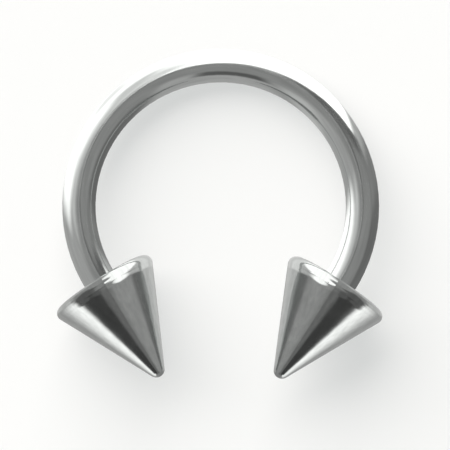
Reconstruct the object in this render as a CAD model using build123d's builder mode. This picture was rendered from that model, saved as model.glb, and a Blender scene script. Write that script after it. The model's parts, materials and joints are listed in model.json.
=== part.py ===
from build123d import *

import os
from math import cos, radians, sin, sqrt, tan

# Horseshoe barbell: a bow of round wire with a screw-on cone at each end, all polished steel.
# It is modelled as it rests on a table, on the crown of the bow and on the rims of both cones,
# so the plane of the bow leans by about 10 degrees.
# Millimetres. X runs across the bow, Y towards the crown, Z up, origin under the middle.

# Bow
wire_dia = 1.6
inner_dia = 12.0
end_drop = 32.9  # degrees below the centre of the ring at which the wire stops
shoulder_round = 0.06

# Cones
cone_width = 5.28
half_angle = 25.8
rim_round = 0.34
tip_round = 0.4
seat_gap = 0.02

# Threaded posts, with a metric thread
thread_dia = 1.2
thread_pitch = 0.25
thread_turns = 7
flank_angle = 60
depth_share = 0.6134  # of the pitch
crest_share = 1 / 8  # of the pitch
relief_length = 0.25
lead_length = 0.2
lead_chamfer = 0.1
root_overlap = 0.02  # how far the ridge of the thread reaches into its core

# Bores
bore_dia = 1.26
bore_depth = 2.5
mouth_dia = 1.36
drill_angle = 118

# Sizes of the thread and of its post
thread_depth = depth_share * thread_pitch
thread_crest = crest_share * thread_pitch
thread_rise = thread_depth * tan(radians(flank_angle / 2))
root_radius = thread_dia / 2 - thread_depth
thread_length = thread_turns * thread_pitch
post_length = relief_length + thread_length + lead_length

# Sizes of the cone's outline, whose rim and tip are rounded off a sharp triangle
rim_radius = cone_width / 2 - rim_round
lean_sin = sin(radians(half_angle))
lean_cos = cos(radians(half_angle))
sharp_radius = rim_radius + rim_round * (1 + lean_sin) / lean_cos
sharp_height = sharp_radius / tan(radians(half_angle))
cone_height = sharp_height - tip_round * (1 / lean_sin - 1)

# The ends of the wire and the bases of the cones, in the plane of the ring
ring_radius = (inner_dia + wire_dia) / 2
drop_sin = sin(radians(end_drop))
drop_cos = cos(radians(end_drop))
base_y = -ring_radius * drop_sin - seat_gap * drop_cos

# The sine of the lean, at which the lowest points of the crown and of the rims are level:
# reach * rest_sin = rim_radius * sqrt(1 - (drop_cos * rest_sin)**2) + step
reach = ring_radius - base_y + rim_round * drop_cos
step = rim_round - wire_dia / 2
square = reach**2 + (rim_radius * drop_cos) ** 2
rest_sin = (reach * step + sqrt((reach * step) ** 2 + square * (rim_radius**2 - step**2))) / square
rest_cos = sqrt(1 - rest_sin**2)

# The place of the ring that puts the object on the ground, with the origin under its middle
tip_y = base_y - (cone_height - tip_round) * drop_cos
front_y = tip_y * rest_cos - tip_round
back_y = ring_radius * rest_cos + wire_dia / 2
ring_centre = (0, -(front_y + back_y) / 2, ring_radius * rest_sin + wire_dia / 2)
ring_plane = Plane(ring_centre, x_dir=(1, 0, 0), z_dir=(0, rest_sin, rest_cos))


def end_plane(side, gap=0.0):
    """Plane across an end of the wire, with its normal pointing out of it. Side is -1 or 1."""
    out = Vector(-side * drop_sin, -drop_cos, 0)
    centre = Vector(side * ring_radius * drop_cos, -ring_radius * drop_sin, 0) + out * gap
    return Plane(
        ring_plane.from_local_coords(centre),
        x_dir=ring_plane.z_dir,
        z_dir=(ring_plane.from_local_coords(out) - ring_plane.origin),
    )


def side_plane(base):
    """Plane along the axis of an end, where X is the distance from the axis and Y is along it."""
    return Plane(base.origin, x_dir=base.x_dir, z_dir=-base.y_dir)


os.makedirs("parts", exist_ok=True)

# The bow, one piece with its two threaded posts
with BuildPart() as bar:
    with BuildLine(ring_plane) as bow:
        CenterArc((0, 0), ring_radius, -end_drop, 180 + 2 * end_drop)
    with BuildSketch(Plane(bow.line @ 0, z_dir=bow.line % 0)):
        Circle(wire_dia / 2)
    sweep(path=bow.line)
    fillet(bar.edges().filter_by(GeomType.CIRCLE), shoulder_round)
    for side in (-1, 1):
        end = end_plane(side)
        with BuildSketch(end):
            Circle(root_radius)
        extrude(amount=post_length)
        tip_edge = bar.edges(Select.LAST).sort_by(Axis(end.origin, end.z_dir))[-1]
        chamfer(tip_edge, lead_chamfer)
        thread_start = end.offset(relief_length).origin
        with BuildLine() as spiral:
            Helix(thread_pitch, thread_length, root_radius - root_overlap, thread_start, end.z_dir)
        foot = spiral.line @ 0
        with BuildSketch(Plane(foot, x_dir=foot - thread_start, z_dir=spiral.line % 0)):
            with BuildLine():
                Polyline(
                    (0, -thread_rise - thread_crest / 2),
                    (root_overlap + thread_depth, -thread_crest / 2),
                    (root_overlap + thread_depth, thread_crest / 2),
                    (0, thread_rise + thread_crest / 2),
                    close=True,
                )
            make_face()
        sweep(path=spiral.line, is_frenet=True)
bar.part.label = "bar"
export_step(bar.part, "parts/bar.step")

# The two cones, turned from rod, each with a blind bore for its post
for name, side in {"cone_left": -1, "cone_right": 1}.items():
    base = end_plane(side, seat_gap)
    axis = Axis(base.origin, base.z_dir)
    with BuildPart() as cone:
        with BuildSketch(side_plane(base)) as outline:
            with BuildLine():
                Polyline((-sharp_radius, 0), (sharp_radius, 0), (0, sharp_height), close=True)
            make_face()
            rim_corners = outline.vertices().group_by(Axis.Y)[0]
            fillet(rim_corners, rim_round)
            tip_corner = outline.vertices().sort_by(Axis.Y)[-1]
            fillet(tip_corner, tip_round)
            split(bisect_by=Plane.YZ)
        revolve(axis=axis)
        with Locations(-base):
            CounterSinkHole(bore_dia / 2, mouth_dia / 2, depth=bore_depth)
        with Locations(base.offset(bore_depth)):
            Cone(
                bore_dia / 2,
                0,
                bore_dia / 2 / tan(radians(drill_angle / 2)),
                align=(Align.CENTER, Align.CENTER, Align.MIN),
                mode=Mode.SUBTRACT,
            )
    cone.part.label = name
    export_step(cone.part, f"parts/{name}.step")
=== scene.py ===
import json
from collections import namedtuple
from math import asin, atan2, cos, radians, sin

import bmesh
import bpy
from mathutils import Matrix, Vector


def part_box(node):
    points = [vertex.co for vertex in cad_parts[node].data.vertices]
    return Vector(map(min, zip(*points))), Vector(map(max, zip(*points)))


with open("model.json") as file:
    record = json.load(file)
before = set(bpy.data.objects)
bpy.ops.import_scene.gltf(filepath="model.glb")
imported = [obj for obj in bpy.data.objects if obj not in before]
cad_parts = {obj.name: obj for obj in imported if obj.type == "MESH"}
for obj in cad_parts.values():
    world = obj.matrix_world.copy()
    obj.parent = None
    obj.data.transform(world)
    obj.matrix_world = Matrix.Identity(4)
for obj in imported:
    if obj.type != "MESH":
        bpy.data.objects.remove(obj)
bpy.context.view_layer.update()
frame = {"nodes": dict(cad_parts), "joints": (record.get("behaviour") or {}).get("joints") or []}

# The horseshoe barbell lies on a plain pale floor and is seen from nearly straight above.
# Lengths are in metres. Azimuths turn from the picture's right (0) to the crown (90), and a
# polar angle is 0 straight up, 90 at the horizon and 180 straight down. Both are in degrees.
mm = 0.001

# Places on the object, worked out from the frame
nodes = frame["nodes"]
cone_axes = {joint["child"]: Vector(joint["axis"]) for joint in frame["joints"]}
lean = atan2(cone_axes["cone_right"].z, -cone_axes["cone_right"].y)
end_drop = asin(-cone_axes["cone_right"].x)
wire_radius = 0.8 * mm
bar_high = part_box("bar")[1]
ring_radius = bar_high.x - wire_radius
ring_centre = Vector((
    0,
    bar_high.y - wire_radius - ring_radius * cos(lean),
    wire_radius + ring_radius * sin(lean),
))
ring_across = Vector((0, cos(lean), -sin(lean)))
ring_normal = Vector((0, sin(lean), cos(lean)))


def wire_end(side):
    """The middle of an end of the wire, where the base of a cone sits. Side is -1 or 1."""
    out = Vector((side * ring_radius * cos(end_drop), 0, 0))
    return ring_centre + out - ring_across * ring_radius * sin(end_drop)


# Node trees

def node(tree, kind, settings=None, **inputs):
    """Adds a node. Settings are its properties, and each input is a value or a socket. An input goes
    by its name, with _ for a space, or by i and its number."""
    made = tree.nodes.new(kind)
    for name, value in (settings or {}).items():
        setattr(made, name, value)
    for name, value in inputs.items():
        if name[1:].isdigit():
            socket = made.inputs[int(name[1:])]
        else:
            socket = made.inputs[name.replace("_", " ")]
        if isinstance(value, bpy.types.NodeSocket):
            tree.links.new(value, socket)
        else:
            socket.default_value = value
    return made


def math(tree, operation, *values):
    """A Math node on up to three values, returned as its output socket."""
    inputs = {f"i{index}": value for index, value in enumerate(values)}
    return node(tree, "ShaderNodeMath", {"operation": operation}, **inputs).outputs[0]


def vector_math(tree, operation, *values, output=0):
    """A Vector Math node, returned as one of its output sockets."""
    inputs = {f"i{index}": value for index, value in enumerate(values)}
    return node(tree, "ShaderNodeVectorMath", {"operation": operation}, **inputs).outputs[output]


def noise(tree, vector, scale, detail, roughness):
    """A noise texture's value, from 0 to 1."""
    made = node(
        tree, "ShaderNodeTexNoise",
        Vector=vector, Scale=scale, Detail=detail, Roughness=roughness,
    )
    return made.outputs["Fac"]


def remap(tree, value, low, high, to_low, to_high, smooth=False):
    """The value's range from low to high, stretched to another range."""
    settings = {"interpolation_type": "SMOOTHSTEP" if smooth else "LINEAR"}
    made = node(
        tree, "ShaderNodeMapRange", settings,
        i0=value, i1=low, i2=high, i3=to_low, i4=to_high,
    )
    return made.outputs[0]


def position_in(tree, origin, x_axis, y_axis, z_axis):
    """The place on the surface in a frame of its own, in millimetres, as X, Y and Z sockets."""
    place = node(tree, "ShaderNodeTexCoord").outputs["Object"]
    offset = vector_math(tree, "SUBTRACT", place, tuple(origin))
    return [
        math(tree, "MULTIPLY", vector_math(tree, "DOT_PRODUCT", offset, tuple(axis), output=1), 1 / mm)
        for axis in (x_axis, y_axis, z_axis)
    ]


# Polished steel

steel_tint = (0.609, 0.624, 0.619)
steel_reflectance = 0.62
rim_wear_from_base = (0.45, 0.75)  # millimetres
rim_wear_depth = 0.031  # millimetres

# Marks of the polishing, as noises that are drawn out along the piece
Marks = namedtuple("Marks", "along_share scale detail roughness")
scratch_marks = Marks(0.03, 26.0, 3.0, 0.6)
streak_marks = Marks(0.08, 5.0, 2.0, 0.5)
cloud_marks = Marks(1.0, 0.9, 3.0, 0.5)
usual_noise = (0.3, 0.7)
scratch_noise = (0.45, 0.75)
streak_tones = (0.92, 1.04)
cloud_tones = (-0.02, 0.02)
cloud_roughness = (0.07, 0.13)
scratch_roughness = (0.0, 0.05)
scratch_height_share = 0.5
mark_strength = 0.25
mark_height = 0.004 * mm


def soft_rim(tree, along):
    """The height of a cone's side, in millimetres, which polishing has worn close to the rim."""
    return remap(tree, along, *rim_wear_from_base, -rim_wear_depth, 0.0, smooth=True)


def steel_material(name, directions, form=None):
    """Polished surgical steel. Directions adds the nodes for the place on the surface: along the
    polish marks, and two places across them, in millimetres. Form adds a broad relief to it."""
    material = bpy.data.materials.new(name)
    material.use_nodes = True
    tree = material.node_tree
    shader = tree.nodes["Principled BSDF"]
    along, across, lift = directions(tree)

    def marks(kind):
        """One kind of marks. Their place is shortened along the piece, which draws them out."""
        shortened = math(tree, "MULTIPLY", along, kind.along_share)
        place = node(tree, "ShaderNodeCombineXYZ", X=shortened, Y=across, Z=lift).outputs[0]
        return noise(tree, place, kind.scale, kind.detail, kind.roughness)

    scratches = marks(scratch_marks)
    streaks = marks(streak_marks)
    clouds = marks(cloud_marks)

    shader.inputs["Metallic"].default_value = 1.0
    streak_tone = remap(tree, streaks, *usual_noise, *streak_tones)
    cloud_tone = remap(tree, clouds, *usual_noise, *cloud_tones)
    tint = vector_math(tree, "SCALE", steel_tint)
    tree.links.new(math(tree, "ADD", streak_tone, cloud_tone), tint.node.inputs["Scale"])
    tree.links.new(tint, shader.inputs["Base Color"])
    cloud_gloss = remap(tree, clouds, *usual_noise, *cloud_roughness)
    scratch_gloss = remap(tree, scratches, *scratch_noise, *scratch_roughness)
    tree.links.new(math(tree, "ADD", cloud_gloss, scratch_gloss), shader.inputs["Roughness"])
    relief = math(tree, "MULTIPLY_ADD", scratches, scratch_height_share, streaks)
    bump = node(tree, "ShaderNodeBump", Strength=mark_strength, Distance=mark_height, Height=relief)
    if form:
        shape = node(tree, "ShaderNodeBump", Strength=1.0, Distance=mm, Height=form(tree, along))
        tree.links.new(shape.outputs["Normal"], bump.inputs["Normal"])
    tree.links.new(bump.outputs["Normal"], shader.inputs["Normal"])
    return material


def wire_directions(tree):
    """Along the bend of the wire, then outwards from the ring's centre, then up from its plane."""
    x, y, z = position_in(tree, ring_centre, (1, 0, 0), ring_across, ring_normal)
    from_crown = math(tree, "ARCTAN2", x, y)
    squares = math(tree, "MULTIPLY_ADD", x, x, math(tree, "MULTIPLY", y, y))
    radius = math(tree, "SQRT", squares)
    return math(tree, "MULTIPLY", from_crown, ring_radius / mm), radius, z


def cone_directions(side):
    """Makes the directions of one cone: its marks run from the rim to the tip."""
    axis = cone_axes["cone_left" if side < 0 else "cone_right"]

    def directions(tree):
        sideways = axis.cross(ring_normal).normalized()
        return position_in(tree, wire_end(side), axis, sideways, axis.cross(sideways))

    return directions


def dress(name, material):
    """Gives a CAD node its finish."""
    for slot in nodes[name].material_slots:
        slot.material = material


wire_steel = steel_material("wire_steel_polished", wire_directions)
left_steel = steel_material("cone_left_steel_polished", cone_directions(-1), soft_rim)
right_steel = steel_material("cone_right_steel_polished", cone_directions(1), soft_rim)
dress("bar", wire_steel)
dress("cone_left", left_steel)
dress("cone_right", right_steel)


# Studio light on the steel
# Each piece has a light tent of its own, as a product photographer lights it. A tent is a large
# sphere that only the piece's reflections see, lit in soft-edged panels over a plain grey. The
# level of a panel is the brightness that the steel shows, where 1 is white. Where two pieces mirror
# each other, the second one shows the plainer bounce levels.

Panel = namedtuple("Panel", "azimuths side_blur polars edge_blur slant level")
tent_tint = (1.0, 1.0, 0.985, 1.0)
tent_subdivisions = 5
wire_tent_radius = 0.2
left_tent_radius = 0.21
right_tent_radius = 0.22
second_reflection_depth = 1.5  # a ray's depth is 1 after one reflection and 2 after two
off_floor_depth = 0.5  # the diffuse depth is 0 as long as a ray has not left the floor

wire_tent_level = 0.22
wire_panels = [
    Panel((140, 235), 20, (30, 200), 14, 0, 0.32),
    Panel((212, 236), 8, (44, 75), 8, 0, 0.42),
    Panel((216, 235), 6, (70, 200), 8, 0, 0.4),
    Panel((240, 310), 12, (62, 200), 8, 0, 0.32),
    Panel((286, 308), 6, (36, 78), 8, 0, 0.31),
    Panel((245, 284), 5, (34, 62), 6, 0, 0.09),
    Panel((308, 372), 10, (66, 200), 10, 0, 0.13),
    Panel((10, 60), 8, (60, 200), 8, 0, 0.19),
    Panel((27, 60), 5, (78, 200), 6, 0, 0.37),
    Panel((35, 75), 5, (29, 60), 6, -1.2, 0.11),
    Panel((98, 168), 8, (28, 200), 10, 0.1, 0.5),
    Panel((96, 178), 8, (49, 240), 13, 0.45, 1.1),
    Panel((100, 111), 5, (28, 50), 8, 0, 0.68),
    Panel((110, 127), 5, (30, 72), 8, 0, 0.58),
    Panel((128, 142), 4, (106, 240), 8, 0, 0.84),
    Panel((38, 98), 3, (45.3, 200), 3, -0.93, 1.5),
]
wire_bounce_level = 0.48
wire_bounce_panels = [
    Panel((85, 125), 8, (50, 100), 8, 0, 1.5),
]

cone_tent_level = 0.2
cone_panels = [
    Panel((324, 362), 8, (30, 80), 8, 0, 0.24),
    Panel((286, 322), 8, (20, 70), 8, 0, 0.125),
    Panel((150, 286), 7, (20, 70), 8, 0, 0.085),
    Panel((105, 155), 10, (30, 120), 8, 0, 0.24),
    Panel((246, 285), 4, (37, 62), 5, 0, 0.042),
    Panel((170, 205), 8, (88, 200), 8, -0.4, 0.47),
    Panel((200, 235), 8, (73, 250), 6, -0.1, 0.73),
    Panel((230, 268), 5, (70.5, 250), 5, -0.2, 0.95),
    Panel((190, 280), 10, (101, 250), 25, 0, 0.28),
    Panel((130, 200), 8, (110, 200), 12, 0, 0.4),
    Panel((342, 370), 8, (100, 200), 8, 0, 0.38),
    Panel((8, 60), 5, (60, 110), 10, 0, 0.41),
    Panel((6, 112), 6, (101, 200), 12, 0, 0.64),
    Panel((353, 364), 4, (76, 96), 6, 0, 0.12),
    Panel((334, 356), 4, (-30, 22), 4, 0.83, 0.95),
    Panel((347, 475), 5, (8, 99), 7, 0.8, 1.03),
    Panel((0, 110), 10, (136, 200), 8, 0, 0.5),
]
cone_bounce_level = 0.2
cone_bounce_panels = [
    Panel((-10, 370), 5, (110, 300), 50, 0, 0.42),
]


def panel_group():
    """A node group that lays one panel over the level that comes in."""
    group = bpy.data.node_groups.new("studio_panel", "ShaderNodeTree")
    names = [
        "Level", "Azimuth", "Polar", "Middle azimuth", "Half width", "Side blur",
        "Middle polar", "Half height", "Edge blur", "Slant", "Panel level",
    ]
    for name in names:
        group.interface.new_socket(name, in_out="INPUT", socket_type="NodeSocketFloat")
    group.interface.new_socket("Level", in_out="OUTPUT", socket_type="NodeSocketFloat")
    given = group.nodes.new("NodeGroupInput").outputs
    result = group.nodes.new("NodeGroupOutput")

    def inside(distance, half, blur):
        """1 inside the panel's edge and 0 outside it, with a soft step between."""
        return remap(
            group, math(group, "ABSOLUTE", distance),
            math(group, "SUBTRACT", given[half], given[blur]),
            math(group, "ADD", given[half], given[blur]),
            1.0, 0.0, smooth=True,
        )

    turn = math(group, "SUBTRACT", given["Azimuth"], given["Middle azimuth"])
    turn = math(group, "WRAP", turn, 180.0, -180.0)
    rise = math(group, "SUBTRACT", given["Polar"], given["Middle polar"])
    rise = math(group, "SUBTRACT", rise, math(group, "MULTIPLY", turn, given["Slant"]))
    in_width = inside(turn, "Half width", "Side blur")
    in_height = inside(rise, "Half height", "Edge blur")
    mask = math(group, "MULTIPLY", in_width, in_height)
    change = math(group, "SUBTRACT", given["Panel level"], given["Level"])
    level = math(group, "MULTIPLY_ADD", change, mask, given["Level"])
    group.links.new(level, result.inputs[0])
    return group


def painted(tree, group, azimuth, polar, level, panels):
    """The level by direction, with the panels laid over the base level in turn."""
    for panel in panels:
        made = node(
            tree, "ShaderNodeGroup", {"node_tree": group},
            Level=level, Azimuth=azimuth, Polar=polar, Slant=panel.slant,
            Middle_azimuth=sum(panel.azimuths) / 2,
            Half_width=(panel.azimuths[1] - panel.azimuths[0]) / 2,
            Side_blur=panel.side_blur,
            Middle_polar=sum(panel.polars) / 2,
            Half_height=(panel.polars[1] - panel.polars[0]) / 2,
            Edge_blur=panel.edge_blur,
            Panel_level=panel.level,
        )
        level = made.outputs[0]
    return level


def tent_material(name, group, first, second, mirrored=False):
    """Glows by direction, and lets what is behind it through. First and second are the base level
    and the panels for a first and for a second reflection. The floor gets no light from it."""
    material = bpy.data.materials.new(name)
    material.use_nodes = True
    material.cycles.emission_sampling = "NONE"
    tree = material.node_tree
    tree.nodes.clear()
    place = node(tree, "ShaderNodeNewGeometry").outputs["Position"]
    direction = vector_math(tree, "NORMALIZE", place)
    parts = node(tree, "ShaderNodeSeparateXYZ", Vector=direction).outputs
    sideways = math(tree, "MULTIPLY", parts["X"], -1.0) if mirrored else parts["X"]
    azimuth = math(tree, "DEGREES", math(tree, "ARCTAN2", parts["Y"], sideways))
    polar = math(tree, "DEGREES", math(tree, "ARCCOSINE", parts["Z"]))
    first_level = painted(tree, group, azimuth, polar, *first)
    second_level = painted(tree, group, azimuth, polar, *second)
    path = node(tree, "ShaderNodeLightPath").outputs
    is_first = math(tree, "LESS_THAN", path["Ray Depth"], second_reflection_depth)
    level = remap(tree, is_first, 0.0, 1.0, second_level, first_level)
    off_floor = math(tree, "LESS_THAN", path["Diffuse Depth"], off_floor_depth)
    strength = math(tree, "MULTIPLY", off_floor, math(tree, "DIVIDE", level, steel_reflectance))
    glow = node(tree, "ShaderNodeEmission", Color=tent_tint, Strength=strength)
    clear = node(tree, "ShaderNodeBsdfTransparent")
    both = node(tree, "ShaderNodeAddShader", i0=glow.outputs[0], i1=clear.outputs[0])
    output = tree.nodes.new("ShaderNodeOutputMaterial")
    tree.links.new(both.outputs[0], output.inputs["Surface"])
    return material


def only_seen_by(piece, light):
    """The light shows in the reflections of one piece and nowhere else."""
    for ray in ("camera", "diffuse", "transmission", "volume_scatter", "shadow"):
        setattr(light, f"visible_{ray}", False)
    receivers = bpy.data.collections.new(f"{light.name}_receivers")
    receivers.objects.link(piece)
    light.light_linking.receiver_collection = receivers


def light_tent(piece_name, radius, material):
    """A glowing sphere round the whole set, for one piece's reflections."""
    mesh = bpy.data.meshes.new(f"tent_of_{piece_name}")
    ball = bmesh.new()
    bmesh.ops.create_icosphere(ball, subdivisions=tent_subdivisions, radius=radius)
    ball.to_mesh(mesh)
    ball.free()
    mesh.materials.append(material)
    tent = bpy.data.objects.new(mesh.name, mesh)
    bpy.context.scene.collection.objects.link(tent)
    only_seen_by(nodes[piece_name], tent)


panel_nodes = panel_group()
wire_levels = (wire_tent_level, wire_panels), (wire_bounce_level, wire_bounce_panels)
cone_levels = (cone_tent_level, cone_panels), (cone_bounce_level, cone_bounce_panels)
wire_glow = tent_material("wire_tent", panel_nodes, *wire_levels)
left_glow = tent_material("cone_left_tent", panel_nodes, *cone_levels)
right_glow = tent_material("cone_right_tent", panel_nodes, *cone_levels, mirrored=True)
light_tent("bar", wire_tent_radius, wire_glow)
light_tent("cone_left", left_tent_radius, left_glow)
light_tent("cone_right", right_tent_radius, right_glow)


# Floor, with a soft key light from the upper left

floor_size = 3.0
floor_albedo = (0.9, 0.9, 0.9, 1.0)
key_azimuth = radians(120)
key_height = radians(25)
key_spread = radians(80)
key_strength = 2.8
key_tint = (1.0, 0.96, 0.93)
fill_strength = 2.28
fill_tint = (0.98, 1.0, 0.99)
sky_tint = (1.0, 1.0, 0.99, 1.0)


def floor():
    """A plain pale floor, which the steel doesn't reflect."""
    half = floor_size / 2
    mesh = bpy.data.meshes.new("floor")
    corners = [(-half, -half, 0), (half, -half, 0), (half, half, 0), (-half, half, 0)]
    mesh.from_pydata(corners, [], [(0, 1, 2, 3)])
    material = bpy.data.materials.new("floor_white")
    material.use_nodes = True
    shader = material.node_tree.nodes["Principled BSDF"]
    shader.inputs["Base Color"].default_value = floor_albedo
    shader.inputs["Roughness"].default_value = 1.0
    shader.inputs["Specular IOR Level"].default_value = 0.0
    mesh.materials.append(material)
    made = bpy.data.objects.new("floor", mesh)
    made.visible_glossy = False
    bpy.context.scene.collection.objects.link(made)


def sun(name, strength, tint, towards, spread=0.0):
    """Parallel light, or light from a patch of sky as wide as its spread. No reflection shows it."""
    lamp = bpy.data.lights.new(name, "SUN")
    lamp.energy = strength
    lamp.color = tint
    lamp.angle = spread
    made = bpy.data.objects.new(name, lamp)
    made.rotation_euler = towards.to_track_quat("Z", "Y").to_euler()
    made.visible_glossy = False
    bpy.context.scene.collection.objects.link(made)
    return lamp


def key_light():
    """A large softbox at the upper left, for the soft shadows."""
    level = cos(key_height)
    towards = Vector((level * cos(key_azimuth), level * sin(key_azimuth), sin(key_height)))
    sun("key", key_strength, key_tint, towards, key_spread)


def fill_light():
    """Even light from above with no shadow, which keeps the key light's shadows pale."""
    sun("fill", fill_strength, fill_tint, Vector((0, 0, 1))).use_shadow = False


def sky():
    """The white behind the floor, which lights nothing."""
    world = bpy.data.worlds.new("studio")
    world.use_nodes = True
    world.cycles_visibility.glossy = False
    world.cycles_visibility.diffuse = False
    bpy.context.scene.world = world
    background = world.node_tree.nodes["Background"]
    background.inputs["Color"].default_value = sky_tint


floor()
key_light()
fill_light()
sky()


# Camera

camera_distance = 0.3
view_lean = radians(3.13)  # from straight above, towards the crown
view_turn = radians(0.55)  # the object stands turned clockwise in the picture by this
frame_width = 21.583 * mm
aim_right = 0.206 * mm
aim_down = 0.893 * mm


def camera():
    """Looks down on the object at the photograph's angle."""
    lens = bpy.data.cameras.new("camera")
    lens.lens = lens.sensor_width * camera_distance / frame_width
    back = Vector((0, sin(view_lean), cos(view_lean)))
    level_up = Vector((0, cos(view_lean), -sin(view_lean)))
    level_right = Vector((1, 0, 0))
    right = level_right * cos(view_turn) + level_up * sin(view_turn)
    up = level_up * cos(view_turn) - level_right * sin(view_turn)
    place = ring_centre + right * aim_right - up * aim_down + back * camera_distance
    made = bpy.data.objects.new("camera", lens)
    made.matrix_world = Matrix.Translation(place) @ Matrix((right, up, back)).transposed().to_4x4()
    bpy.context.scene.collection.objects.link(made)
    bpy.context.scene.camera = made


camera()
bpy.context.scene.view_settings.view_transform = "Standard"
